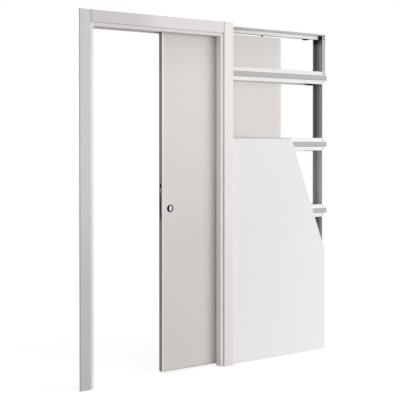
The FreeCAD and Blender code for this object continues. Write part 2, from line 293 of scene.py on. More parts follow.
class ToneDrift(EffectGroup):
    """Slow drift of a colour over a large surface, with a finer mottle in it."""

    title = "tone_drift"
    inputs = {"Vector": Kind.VECTOR, "Base": Kind.COLOUR, "Shade": Kind.COLOUR, "Scale": Kind.FLOAT}
    outputs = {"Color": Kind.COLOUR, "Mask": Kind.FLOAT}
    fineness = 23.0
    fine_share = 0.3
    contrast = (0.36, 0.64)

    @classmethod
    def fill(cls, wire: Group) -> None:
        """Mix two noises into a mask between the base and its shade.

        Args:
            wire: The group's wiring.
        """
        given = wire.given
        broad = wire.noise(given["Vector"], given["Scale"], SLOW_DETAIL)[0]
        fine_scale = wire.math("MULTIPLY", given["Scale"], cls.fineness)
        fine = wire.noise(given["Vector"], fine_scale, FINE_DETAIL)[0]
        both = wire.math("MULTIPLY_ADD", fine, cls.fine_share)
        wire.feed(both.node.inputs[2], wire.math("MULTIPLY", broad, 1.0 - cls.fine_share))
        mask = wire.remap(both, cls.contrast)
        wire.feed(wire.wanted["Color"], wire.between(mask, given["Base"], given["Shade"]))
        wire.feed(wire.wanted["Mask"], mask)


class FinePeel(EffectGroup):
    """Fine film texture of a sprayed or moulded surface."""

    title = "fine_peel"
    inputs = {"Vector": Kind.VECTOR, "Scale": Kind.FLOAT, "Smooth": Kind.FLOAT, "Rough": Kind.FLOAT}
    outputs = {"Height": Kind.FLOAT, "Roughness": Kind.FLOAT}
    slowness = 0.02

    @classmethod
    def fill(cls, wire: Group) -> None:
        """Use a fine noise as relief and a slower one for the gloss.

        Args:
            wire: The group's wiring.
        """
        given = wire.given
        relief = wire.noise(given["Vector"], given["Scale"], FINE_DETAIL)[0]
        slow_scale = wire.math("MULTIPLY", given["Scale"], cls.slowness)
        slow = wire.noise(given["Vector"], slow_scale, SLOW_DETAIL)[0]
        wire.feed(wire.wanted["Height"], relief)
        gloss = wire.remap(slow, NOISE_SPAN, given["Smooth"], given["Rough"])
        wire.feed(wire.wanted["Roughness"], gloss)


class Spangle(EffectGroup):
    """Crystal pattern of hot-dip zinc."""

    title = "spangle"
    inputs = {"Vector": Kind.VECTOR, "Scale": Kind.FLOAT}
    outputs = {"Mask": Kind.FLOAT, "Height": Kind.FLOAT}
    bend_scale = 40.0
    bend_reach = 0.02

    @classmethod
    def fill(cls, wire: Group) -> None:
        """Give each crystal its own tone and the film a slight grain.

        Args:
            wire: The group's wiring.
        """
        place = wire.given["Vector"]
        bend = wire.noise(place, cls.bend_scale, FINE_DETAIL)[1]
        pull = wire.vectors("SCALE", {0: bend, "Scale": cls.bend_reach})[0]
        warped = wire.vectors("ADD", {0: place, 1: pull})[0]
        cells = wire.add("ShaderNodeTexVoronoi", {"Vector": warped, "Scale": wire.given["Scale"]}).outputs
        wire.feed(wire.wanted["Mask"], wire.out("ShaderNodeSeparateColor", {0: cells["Color"]}))
        wire.feed(wire.wanted["Height"], cells["Distance"])


class DrawnLines(EffectGroup):
    """Fine lines left by drawing, brushing or extruding a metal."""

    title = "drawn_lines"
    inputs = {"Vector": Kind.VECTOR, "Stretch": Kind.VECTOR}
    outputs = {"Mask": Kind.FLOAT, "Height": Kind.FLOAT}

    @classmethod
    def fill(cls, wire: Group) -> None:
        """Stretch a noise along one axis.

        Args:
            wire: The group's wiring.
        """
        long = wire.vectors("MULTIPLY", {0: wire.given["Vector"], 1: wire.given["Stretch"]})[0]
        lines = wire.noise(long, 1.0, SLOW_DETAIL)[0]
        wire.feed(wire.wanted["Height"], lines)
        wire.feed(wire.wanted["Mask"], wire.remap(lines, NOISE_SPAN))


@dataclass(frozen=True)
class Finish:
    """A surface finish and the record's slot that it dresses."""

    name: str
    slot: str
    base: Colour
    shade: Colour
    smooth: float = 0.34
    rough: float = 0.46
    relief_depth: float = 0.0003
    relief_share: float = 0.12

    def make(self) -> bpy.types.Material:
        """Material of the finish, made at its first use.

        Returns:
            The material.
        """
        known = bpy.data.materials.get(self.name)
        if known:
            return known
        material = bpy.data.materials.new(self.name)
        material.use_nodes = True
        self.coat(Surface(material.node_tree))
        return material

    def coat(self, wire: Surface) -> None:
        """Add the finish's own nodes to the material's wiring."""
        raise NotImplementedError

    def drift(self, wire: Surface, scale: float) -> Sockets:
        """Outputs of a slow drift between the finish's two tones."""
        tones = {"Base": self.base, "Shade": self.shade}
        return ToneDrift.place(wire, {"Vector": wire.place, "Scale": scale, **tones})

    def gloss(self, wire: Surface, mask: Socket) -> None:
        """Let the gloss follow a mask."""
        wire.give("Roughness", wire.remap(mask, FULL, self.smooth, self.rough))

    def relief(self, wire: Surface, height: Socket) -> None:
        """Feed a height to the shader's normal."""
        relief = {"Strength": self.relief_share, "Distance": self.relief_depth, "Height": height}
        wire.give("Normal", wire.out("ShaderNodeBump", relief))


@dataclass(frozen=True)
class Film(Finish):
    """Film with a slow drift of tone and a fine peel."""

    drift_scale: float = 1.6
    peel_scale: float = 450.0

    def coat(self, wire: Surface) -> None:
        """Drift the tone slowly and give the film its peel.

        Args:
            wire: The material's wiring.
        """
        wire.give("Base Color", self.drift(wire, self.drift_scale)["Color"])
        peel = FinePeel.place(wire, {
            "Vector": wire.place, "Scale": self.peel_scale, "Smooth": self.smooth, "Rough": self.rough})
        wire.give("Roughness", peel["Roughness"])
        self.relief(wire, peel["Height"])


@dataclass(frozen=True)
class Lacquer(Film):
    """Sprayed satin lacquer on timber board."""


@dataclass(frozen=True)
class Moulded(Film):
    """Moulded plastic or rubber with the mould's fine spark texture."""

    smooth: float = 0.45
    rough: float = 0.6
    relief_depth: float = 0.0002
    relief_share: float = 0.2
    drift_scale: float = 30.0
    peel_scale: float = 1200.0


@dataclass(frozen=True)
class BoardPaper(Film):
    """Paper-faced gypsum board, its core showing on the sawn edges."""

    smooth: float = 0.7
    rough: float = 0.85
    relief_depth: float = 0.0004
    relief_share: float = 0.15
    drift_scale: float = 2.2
    peel_scale: float = 700.0
    core: Colour = (0.8, 0.8, 0.78)
    face: float = -0.075
    back: float = -0.0625
    paper: float = 0.0006

    def coat(self, wire: Surface) -> None:
        """Paper both faces and leave the core bare between them.

        Args:
            wire: The material's wiring.
        """
        super().coat(wire)
        depth = wire.split(wire.place)[1]
        core = wire.within(depth, (self.face + self.paper, self.back - self.paper))
        wire.give("Base Color", wire.between(core, wire.painted(), self.core))


@dataclass(frozen=True)
class Metal(Finish):
    """Metal whose tone, gloss and relief follow one pattern."""

    metallic: float = 0.9
    sheen: float = 0.5

    def pattern(self, wire: Surface) -> Sockets:
        """Outputs of the effect that gives the mask and the height."""
        raise NotImplementedError

    def tint(self, wire: Surface, colour: Socket) -> Socket:
        """Colour of the metal, plain unless a finish changes it."""
        return colour

    def coat(self, wire: Surface) -> None:
        """Let the pattern set tone, gloss and relief together.

        Args:
            wire: The material's wiring.
        """
        wire.give("Specular IOR Level", self.sheen)
        wire.give("Metallic", self.metallic)
        marks = self.pattern(wire)
        colour = wire.between(marks["Mask"], self.base, self.shade)
        wire.give("Base Color", self.tint(wire, colour))
        self.gloss(wire, marks["Mask"])
        self.relief(wire, marks["Height"])


@dataclass(frozen=True)
class ZincSheet(Metal):
    """Galvanised sheet with soft crystals."""

    metallic: float = 0.3
    smooth: float = 0.32
    rough: float = 0.5
    relief_depth: float = 0.0004
    relief_share: float = 0.08
    crystal_scale: float = 85.0

    def pattern(self, wire: Surface) -> Sockets:
        """Outputs of the crystals."""
        return Spangle.place(wire, {"Vector": wire.place, "Scale": self.crystal_scale})


@dataclass(frozen=True, kw_only=True)
class KnurledZinc(ZincSheet):
    """Galvanised batten, its crest a darker zinc where the board is screwed, with painted light and shade on
    its flanges and painted shade at the end of its inner side.
    """

    crest: Colour
    upper: Colour
    painted_light: Colour
    inner: Colour
    end_shade: Colour
    slope: Span = (0.053, 0.0605)
    end_shade_span: Span = (0.705, 0.745)
    top_row: float = 1.872
    rows_below: float = 1.75
    inward: float = -0.2

    def tint(self, wire: Surface, colour: Socket) -> Socket:
        """Darken the crest, paint light on the flanges below the lower rows and shade on the top row's upper
        flange, and paint shade on the inner side towards its end.

        Args:
            wire: The material's wiring.
            colour: Colour of the plain sheet.

        Returns:
            Socket with the batten's colour.
        """
        axes = wire.split(wire.place)
        below = wire.math("LESS_THAN", axes[2], self.rows_below)
        above = wire.math("GREATER_THAN", axes[2], self.top_row)
        # painted light on the flanges of the lower rows, painted shade on the upper flange of the top row
        flanges = wire.between(above, wire.between(below, colour, self.painted_light), self.upper)
        raised = wire.remap(wire.math("ABSOLUTE", axes[1]), self.slope)
        outer = wire.between(raised, flanges, self.crest)
        turned = wire.math("MULTIPLY", wire.outlook()[1], wire.math("SIGN", axes[1]))
        inward = wire.math("LESS_THAN", turned, self.inward)
        # painted shade on the inner side towards its end at the upright
        end = wire.remap(axes[0], self.end_shade_span)
        return wire.between(inward, outer, wire.between(end, self.inner, self.end_shade))


@dataclass(frozen=True, kw_only=True)
class UprightZinc(ZincSheet):
    """Galvanised upright with painted shade inside its ribbed channel, painted light on its flanges below the
    top bay, and plain outside.
    """

    channel_shade: Colour
    shoulder: Colour
    groove: Colour
    middle: Colour
    painted_light: Colour
    corner_shade: Colour
    inside: float = 0.0489
    stripes: tuple[float, float, float] = (0.0115, 0.0185, 0.0325)
    top_bay: Span = (1.84, 1.90)
    corner: Span = (2.095, 2.145)
    lit_bay: Span = (0.93, 1.42)
    lit_share: float = 0.38
    outward: float = 0.05

    def tint(self, wire: Surface, colour: Socket) -> Socket:
        """Paint shade on the channel's inner faces, with painted light and shade stripes for its ribs, a
        painted lit bay and a painted shadow under the header, and paint light on its flanges low down.

        Args:
            wire: The material's wiring.
            colour: Colour of the plain sheet.

        Returns:
            Socket with the upright's colour.
        """
        axes = wire.split(wire.place)
        across = wire.math("ABSOLUTE", axes[1])
        # painted light on the flanges below the top bay
        flanges = wire.between(wire.remap(axes[2], self.top_bay, 1.0, 0.0), colour, self.painted_light)
        # painted shade inside the channel, with painted light and shade stripes where its ribs stand
        channel = self.channel_shade
        for reach, tone in zip(reversed(self.stripes), (self.shoulder, self.groove, self.middle)):
            channel = wire.between(wire.math("LESS_THAN", across, reach), channel, tone)
        # painted light on the inner web in the bay below the second batten
        lit = wire.math("MULTIPLY", wire.within(axes[2], self.lit_bay), self.lit_share)
        channel = wire.between(lit, channel, self.painted_light)
        # painted shadow in the channel's top corner under the header
        channel = wire.between(wire.remap(axes[2], self.corner), channel, self.corner_shade)
        outer = wire.math("GREATER_THAN", wire.outlook()[0], self.outward)
        channel = wire.between(outer, channel, colour)
        return wire.between(wire.math("LESS_THAN", across, self.inside), flanges, channel)


@dataclass(frozen=True)
class DrawnMetal(Metal):
    """Metal with fine lines along its length."""

    smooth: float = 0.3
    rough: float = 0.42
    relief_depth: float = 0.0002
    relief_share: float = 0.15
    grain: Grain = Grain.ALONG_Z

    def pattern(self, wire: Surface) -> Sockets:
        """Outputs of the lines."""
        return DrawnLines.place(wire, {"Vector": wire.place, "Stretch": self.grain.value})


@dataclass(frozen=True)
class PlatedCup(Finish):
    """Polished plating of a turned cup, with faint wiping marks and painted shade on its wall."""

    drift_scale: float = 60.0
    wall_shade: Colour = (0.02, 0.02, 0.02)
    centre: Place = (-0.419, 0.0, 1.018)
    across: Place = (1.0, 0.0, 1.0)
    wall: Span = (0.0172, 0.0218)

    def coat(self, wire: Surface) -> None:
        """Let the gloss drift a little over the plating and paint shade on the ring of the wall.

        Args:
            wire: The material's wiring.
        """
        wire.give("Metallic", 1.0)
        tone = self.drift(wire, self.drift_scale)
        self.gloss(wire, tone["Mask"])
        offset = wire.vectors("SUBTRACT", {0: wire.place, 1: self.centre})[0]
        flat = wire.vectors("MULTIPLY", {0: offset, 1: self.across})[0]
        # painted shade on a ring round the cup's wall and the edge of its dish
        ring = wire.within(wire.length(flat), self.wall)
        wire.give("Base Color", wire.between(ring, tone["Color"], self.wall_shade))


@dataclass(frozen=True, kw_only=True)
class Edged:
    """Adds to a finish a tone beyond one or two planes across an axis, and one that it may lean to."""

    band: Colour
    low_band: Colour | None = None
    axis: Axis = Axis.ALONG
    low: float = -9.0
    high: float = 9.0
    soft: Span = (0.0001, 0.0001)
    lean: Colour | None = None
    lean_axis: Axis = Axis.ALONG
    leaning: Span = FULL

    def coat(self, wire: Surface) -> None:
        """Coat the piece, let its tone lean if it does, then set the tone outside the planes.

        Args:
            wire: The material's wiring.
        """
        super().coat(wire)
        plain = wire.painted()
        axes = wire.split(wire.place)
        # the lean tone is painted shade in every finish that uses it
        if self.lean:
            share = wire.remap(axes[self.lean_axis.value], self.leaning, 1.0, 0.0)
            plain = wire.between(share, plain, self.lean)
        along = axes[self.axis.value]
        before = wire.remap(along, (self.low - self.soft[0], self.low), 1.0, 0.0)
        after = wire.remap(along, (self.high, self.high + self.soft[1]))
        upper = wire.between(after, plain, self.band)
        wire.give("Base Color", wire.between(before, upper, self.low_band or self.band))


@dataclass(frozen=True)
class EdgedLacquer(Edged, Lacquer):
    """Lacquer with other tones beyond its planes."""


@dataclass(frozen=True)
class EdgedMetal(Edged, DrawnMetal):
    """Drawn metal with other tones beyond its planes."""


@dataclass(frozen=True)
class EdgedPaper(Edged, BoardPaper):
    """Board paper with other tones beyond its planes."""


# The linings share one lacquer; their different tones are painted light and shade, the pocket linings
# lightest and the head ones darkest.
LINING = Lacquer("satin_lining", "lining_lacquer", *pair(249, 245, 242, 3))
STRIKE_LINING = Lacquer("satin_strike_lining", "lining_lacquer", *pair(239, 237, 235, 3))
HEAD_LINING = Lacquer("satin_head_lining", "lining_lacquer", *pair(229, 225, 222, 4))
# The side casings share one lacquer: the strike casing's darker tone is painted shade and the pocket casing's
# lighter tone painted light, and each gets painted light near the top and painted shade towards the floor.
CASING_RISE = {"axis": Axis.UP, "low": 1.0, "high": 1.2, "soft": (1.0, 0.9)}
STRIKE_CASING = EdgedLacquer(
    "casing_lacquer_strike", "casing_lacquer", *pair(215, 213, 211, 4),
    band=linear(217, 215, 214), low_band=linear(196, 194, 192), **CASING_RISE)
POCKET_CASING = EdgedLacquer(
    "casing_lacquer_pocket", "casing_lacquer", *pair(239, 234, 231, 3),
    band=linear(241, 236, 233), low_band=linear(228, 223, 220), **CASING_RISE)
# The head casing has darker bands at both ends, where it meets the side casings, and painted shade that leans
# towards its left end.
HEAD_CASING = EdgedLacquer(
    "casing_lacquer_head", "casing_lacquer", *pair(231, 227, 226, 3),
    band=linear(165, 163, 161), low=-0.992, high=-0.062, lean=linear(215, 211, 210), leaning=(-0.70, -0.53))
# The leaf gets painted shade along its top, under the head and the header, and painted shade that leans
# towards its foot, with a darker band along the foot itself.
LEAF = EdgedLacquer(
    "satin_leaf", "leaf_lacquer", *pair(225, 220, 216, 4),
    band=linear(214, 209, 207), low_band=linear(190, 186, 181), axis=Axis.UP, low=0.019, high=1.88,
    soft=(0.0001, 0.2), lean=linear(213, 209, 204), lean_axis=Axis.UP, leaning=(0.2, 1.1))
LIPPING = Lacquer("lipping_lacquer", "leaf_lacquer", *pair(234, 231, 228, 3))
# The lead edge's face is painted shade, and the lead lipping gets painted shade that leans towards its lower
# part.
LEAD_LIPPING = EdgedLacquer(
    "lead_lipping_lacquer", "leaf_lacquer", *pair(241, 238, 235, 3),
    band=linear(138, 136, 131), low=-0.4784,
    lean=linear(229, 226, 222), lean_axis=Axis.UP, leaning=(1.1, 1.6))
PAPER = EdgedPaper(
    "board_face", "board_paper", *pair(237, 235, 235, 2),
    band=linear(202, 202, 198), low_band=linear(237, 235, 235), axis=Axis.UP, low=0.9, high=1.4505,
    soft=(0.9, 0.0001))
ZINC = ZincSheet("plain_zinc", "zinc_sheet", *pair(200, 200, 198, 12), metallic=0.4)
HEADER_ZINC = ZincSheet("header_zinc", "zinc_sheet", *pair(201, 201, 199, 10))
# The upright's inner channel tones are painted shade, with painted light and shade stripes for the ribs; its
# lighter tone is painted light and its corner tone a painted shadow.
UPRIGHT_ZINC = UprightZinc(
    "upright_zinc", "zinc_sheet", *pair(192, 192, 190, 10),
    channel_shade=linear(150, 150, 147), shoulder=linear(193, 193, 190), groove=linear(130, 130, 127),
    middle=linear(179, 179, 176), painted_light=linear(251, 251, 249), corner_shade=linear(20, 20, 20))
# The batten's tones for the lower rows, the top row's upper flange and the inner end are painted light and
# shade; its crest tone is a darker zinc.
BATTEN_ZINC = KnurledZinc(
    "batten_zinc", "zinc_sheet", *pair(238, 238, 236, 5),
    crest=linear(185, 183, 182), upper=linear(233, 233, 231), painted_light=linear(241, 241, 239),
    inner=linear(240, 240, 238), end_shade=linear(105, 105, 103))
# The track gets painted shade towards its end over the doorway.
TRACK = EdgedMetal(
    "drawn_aluminium", "track_aluminium", *pair(240, 239, 237, 7), metallic=0.2, grain=Grain.ALONG_X,
    band=linear(210, 209, 207), low=0.42, soft=(0.45, 0.0001))
STEEL = DrawnMetal("brushed_steel", "satin_steel", *pair(120, 119, 117, 22))
DARK_STEEL = DrawnMetal(
    "dark_steel", "satin_steel", *pair(54, 53, 52, 10), metallic=0.4, smooth=0.4, rough=0.55)
BLACK_STEEL = DrawnMetal(
    "black_steel", "satin_steel", *pair(18, 18, 18, 6), metallic=0.0, smooth=0.55, rough=0.7, sheen=0.1)
CHROME = PlatedCup(
    "polished_plating", "chrome", linear(216, 216, 217), linear(208, 208, 210), smooth=0.03, rough=0.07)
NYLON = Moulded("moulded_nylon", "nylon", *pair(66, 66, 66, 12))
RUBBER = Moulded("moulded_rubber", "buffer_rubber", *pair(50, 50, 50, 10), smooth=0.65, rough=0.8)


def dress(finish: Finish, *names: str) -> None:
    """Give CAD nodes a finish.

    Args:
        finish: The finish.
        names: Nodes that take it.
    """
    for name in names:
        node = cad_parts[name]
        node.data.materials.clear()
        node.data.materials.append(finish.make())
        LOG.info("dressed %s with %s", name, finish.name)


def seat(piece: Piece, body: Body) -> None:
    """Let a new piece ride on its body.

    Args:
        piece: The finished piece, at the origin.
        body: Body it moves with.
    """
    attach(piece, body.value)
    LOG.info("piece %s on %s: %d faces", piece.name, body.value, len(piece.data.polygons))


def in_scene(name: str, data: bpy.types.ID) -> Piece:
    """New object in the scene, at the origin.

    Args:
        name: Name of the object.
        data: Its mesh, light or camera.

    Returns:
        The object.
    """
    thing = bpy.data.objects.new(name, data)
    bpy.context.scene.collection.objects.link(thing)
    return thing


def mesh_from(name: str, shape: Shape, material: bpy.types.Material) -> bpy.types.Mesh:
    """Mesh with one material.

    Args:
        name: Name of the mesh.
        shape: Its shape, freed here.
        material: Its material.

    Returns:
        The mesh.
    """
    mesh = bpy.data.meshes.new(name)
    shape.to_mesh(mesh)
    shape.free()
    mesh.materials.append(material)
    return mesh


def piece_from(name: str, shape: Shape, finish: Finish, sharp: float = 35.0) -> Piece:
    """Object from a finished shape.

    Args:
        name: Name of the piece.
        shape: The shape, freed here.
        finish: Its finish.
        sharp: Angle in degrees above which an edge stays sharp.

    Returns:
        The new object at the origin.
    """
    bmesh.ops.recalc_face_normals(shape, faces=shape.faces)
    mesh = mesh_from(name, shape, finish.make())
    mesh.shade_smooth()
    mesh.set_sharp_from_angle(angle=math.radians(sharp))
    return in_scene(name, mesh)


def turn_about_y(shape: Shape, centre: Vector, profile: Profile, steps: int) -> None:
    """Add a closed turned solid about an axis along Y.

    Args:
        shape: Shape that it joins.
        centre: Point on the axis that the profile counts from.
        profile: (radius, y) points from one end of the axis to the other; a closed ring if none is on it.
        steps: Facets round the axis.
    """
    rings = []
    for radius, along in profile:
        ring = []
        for step in range(1 if radius < ON_AXIS else steps):
            angle = 2 * math.pi * step / steps
            spoke = Vector((radius * math.cos(angle), along, radius * math.sin(angle)))
            ring.append(shape.verts.new(centre + spoke))
        rings.append(ring)
    pairs = list(zip(rings, rings[1:]))
    if len(rings[0]) > 1:
        pairs.append((rings[-1], rings[0]))
    for near, far in pairs:
        for step in range(steps):
            after = (step + 1) % steps
            corners = [near[step % len(near)], near[after % len(near)]]
            corners += [far[after % len(far)], far[step % len(far)]]
            shape.faces.new(list(dict.fromkeys(corners)))


class NodeBuilt:
    """Piece whose repeated shapes a Geometry Nodes tree lays out on marked points."""

    title: str
    sizes: dict[str, float]

    def __init__(self) -> None:
        """Build the tree with its named inputs."""
        inputs = {"Geometry": Kind.GEOMETRY, "Material": Kind.MATERIAL}
        for name, value in self.sizes.items():
            inputs[name] = Kind.WHOLE if isinstance(value, int) else Kind.FLOAT
        wire = Group(self.title, "GeometryNodeTree", inputs, {"Geometry": Kind.GEOMETRY})
        real = wire.out("GeometryNodeRealizeInstances", {0: self.lay(wire)})
        coated = wire.out("GeometryNodeSetMaterial", {0: real, "Material": wire.given["Material"]})
        wire.feed(wire.wanted[0], coated)
        self.tree = wire.tree

    def lay(self, wire: Group) -> Socket:
        """Socket with the repeated shape laid on the marked points."""
        raise NotImplementedError

    def facing(self, wire: Group) -> Socket:
        """Rotation that turns a shape's Z the way its point faces."""
        way = wire.out("GeometryNodeInputNamedAttribute", {"Name": "facing"}, {"data_type": "FLOAT_VECTOR"})
        return wire.out("FunctionNodeAlignRotationToVector", {"Vector": way}, {"axis": "Z"})

    def build(self, name: str, marks: Marks, body: Body, finish: Finish, values: dict) -> None:
        """Make a plain mesh piece from the tree, with no modifier left, and seat it.

        Args:
            name: Name of the piece.
            marks: Points and the ways that they face.
            body: Body it moves with.
            finish: Finish of the piece.
            values: Values for the tree's named inputs that differ from the usual sizes.
        """
        points = bpy.data.meshes.new(name + "_marks")
        points.from_pydata([point for point, _ in marks], [], [])
        ways = points.attributes.new("facing", "FLOAT_VECTOR", "POINT")
        for index, (_, way) in enumerate(marks):
            ways.data[index].vector = way
        host = in_scene(name + "_host", points)
        modifier = host.modifiers.new(self.title, "NODES")
        modifier.node_group = self.tree
        wanted = {**self.sizes, **values, "Material": finish.make()}
        for item in self.tree.interface.items_tree:
            if item.name in wanted:
                modifier[item.identifier] = wanted[item.name]
        scene = bpy.context.evaluated_depsgraph_get()
        mesh = bpy.data.meshes.new_from_object(host.evaluated_get(scene), depsgraph=scene)
        host.modifiers.remove(modifier)
        bpy.data.objects.remove(host)
        bpy.data.meshes.remove(points)
        mesh.name = name
        seat(in_scene(name, mesh), body)


class CrossScrews(NodeBuilt):
    """Low screw heads with a cross recess, each turned its own way."""

    title = "cross_screws"
    sizes = {"Head Radius": 0.004, "Head Height": 0.0018, "Seed": 7}
    steps = 20
    top_share = 0.72
    slot_length = 1.15
    slot_width = 0.26

    def lay(self, wire: Group) -> Socket:
        """Cut a cross in a chamfered head and put one on each point.

        Args:
            wire: The tree's wiring.

        Returns:
            Socket with the heads.
        """
        radius, height = wire.given["Head Radius"], wire.given["Head Height"]
        head = wire.out("GeometryNodeMeshCone", {
            "Vertices": self.steps, "Radius Top": wire.math("MULTIPLY", radius, self.top_share),
            "Radius Bottom": radius, "Depth": height})
        length = wire.math("MULTIPLY", radius, self.slot_length)
        width = wire.math("MULTIPLY", radius, self.slot_width)
        cut = wire.add("GeometryNodeMeshBoolean", {0: head}, {"operation": "DIFFERENCE"})
        for first, second in ((length, width), (width, length)):
            size = wire.out("ShaderNodeCombineXYZ", {0: first, 1: second, 2: height})
            bar = wire.out("GeometryNodeMeshCube", {"Size": size})
            lift = wire.out("ShaderNodeCombineXYZ", {2: height})
            wire.feed(cut.inputs[1], wire.out("GeometryNodeTransform", {0: bar, "Translation": lift}))
        turn = {"Seed": wire.given["Seed"], 2: 0.0, 3: math.pi / 2}
        spin = wire.add("FunctionNodeRandomValue", turn, {"data_type": "FLOAT"}).outputs[1]
        about = wire.out("FunctionNodeAxisAngleToRotation", {"Axis": (0.0, 0.0, 1.0), "Angle": spin})
        both = {0: self.facing(wire), 1: about}
        turned = wire.out("FunctionNodeRotateRotation", both, {"rotation_space": "LOCAL"})
        return wire.out("GeometryNodeInstanceOnPoints", {
            "Points": wire.given["Geometry"], "Instance": cut.outputs[0], "Rotation": turned})


class Knurl(NodeBuilt):
    """Rows of small points rolled into the crest of each near batten."""

    title = "knurl"
    sizes = {"Length": 0.86, "Width": 0.024, "Pitch": 0.006, "Point Height": 0.0003}
    point_sides = 4
    point_share = 0.45

    def lay(self, wire: Group) -> Socket:
        """Spread small points over a grid and put the grid on each crest.

        Args:
            wire: The tree's wiring.

        Returns:
            Socket with the points.
        """
        given = wire.given
        counts = []
        for side in ("Length", "Width"):
            rows = wire.math("FLOOR", wire.math("DIVIDE", given[side], given["Pitch"]))
            counts.append(wire.math("ADD", rows, 1.0))
        grid = wire.out("GeometryNodeMeshGrid", {
            "Size X": given["Length"], "Size Y": given["Width"], "Vertices X": counts[0],
            "Vertices Y": counts[1]})
        foot = wire.math("MULTIPLY", given["Pitch"], self.point_share)
        pyramid = {
            "Vertices": self.point_sides, "Radius Top": 0.0, "Radius Bottom": foot,
            "Depth": given["Point Height"]}
        point = wire.out("GeometryNodeMeshCone", pyramid, {"fill_type": "NONE"})
        row = wire.out("GeometryNodeInstanceOnPoints", {"Points": grid, "Instance": point})
        return wire.out("GeometryNodeInstanceOnPoints", {
            "Points": given["Geometry"], "Instance": row, "Rotation": self.facing(wire)})


@dataclass
class CasedDoorway:
    """Linings and flat casings round the passage."""

    screws: CrossScrews
    strike_screw_inset: float = 0.012

    def build(self) -> None:
        """Dress the timber and screw the strike plate on."""
        dress(LINING, "pocket_jamb_front", "pocket_jamb_rear")
        dress(STRIKE_LINING, "strike_jamb")
        dress(HEAD_LINING, "head_jamb_front", "head_jamb_rear")
        dress(STRIKE_CASING, "casing_strike")
        dress(HEAD_CASING, "casing_head")
        dress(POCKET_CASING, "casing_pocket")
        dress(STEEL, "strike_plate")
        low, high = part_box("strike_plate")
        middle = (low.y + high.y) / 2
        way = Vector((1.0, 0.0, 0.0))
        heights = (low.z + self.strike_screw_inset, high.z - self.strike_screw_inset)
        marks = [(Vector((high.x, middle, height)), way) for height in heights]
        self.screws.build("strike_screws", marks, Body.FRAME, STEEL, PLATE_SCREW)


@dataclass
class PocketFrame:
    """Folded steel of the pocket with its battens and fixings."""

    screws: CrossScrews
    knurl: Knurl
    rows: int = 5
    flange_offset: float = 0.030
    near_end: float = 0.010
    tip_inset: float = 0.005
    crest_depth: float = 0.0125
    batten_sheet: float = 0.0015
    knurl_margin: float = 0.004
    screw_radius: float = 0.004
    corner_inset: float = 0.014
    corner_offsets: Span = (-0.0250, -0.0046)
    corner_radius: float = 0.0060

    def batten(self, side: Side, row: int) -> str:
        """Name of a batten's node."""
        return "batten_%s_%d" % ("front" if side is Side.FINISHED else "rear", row)

    def build(self) -> None:
        """Dress the steel, screw its corners and battens and knurl the near crests."""
        dress(ZINC, "mouth_post_front", "mouth_post_rear", "floor_plate")
        dress(HEADER_ZINC, "header_channel")
        dress(UPRIGHT_ZINC, "rear_upright")
        header_low, header_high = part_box("header_channel")
        upright_low, upright_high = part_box("rear_upright")
        heads, corners, crests = [], [], []
        for side in Side:
            way = Vector((0.0, side.value, 0.0))
            face = header_low.y if side is Side.FINISHED else header_high.y
            for lift in self.corner_offsets:
                place = Vector((upright_high.x - self.corner_inset, face, header_low.z + lift))
                corners.append((place, way))
            for row in range(1, self.rows + 1):
                name = self.batten(side, row)
                dress(BATTEN_ZINC, name)
                low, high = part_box(name)
                crest = low.y if side is Side.FINISHED else high.y
                flange = crest - side.value * (self.crest_depth - self.batten_sheet)
                middle = (low.z + high.z) / 2
                if side is Side.FINISHED:
                    crests.append((Vector(((low.x + high.x) / 2, crest, middle)), way))
                for along in (low.x + self.near_end, upright_low.x + self.tip_inset):
                    for lift in (-self.flange_offset, self.flange_offset):
                        heads.append((Vector((along, flange, middle + lift)), way))
        self.screws.build("batten_screws", heads, Body.FRAME, STEEL, {"Head Radius": self.screw_radius})
        fixings = {"Head Radius": self.corner_radius}
        self.screws.build("header_screws", corners, Body.FRAME, BLACK_STEEL, fixings)
        low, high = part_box(self.batten(Side.FINISHED, 1))
        length = high.x - low.x - 2 * self.knurl_margin
        self.knurl.build("batten_knurl", crests, Body.FRAME, BATTEN_ZINC, {"Length": length})


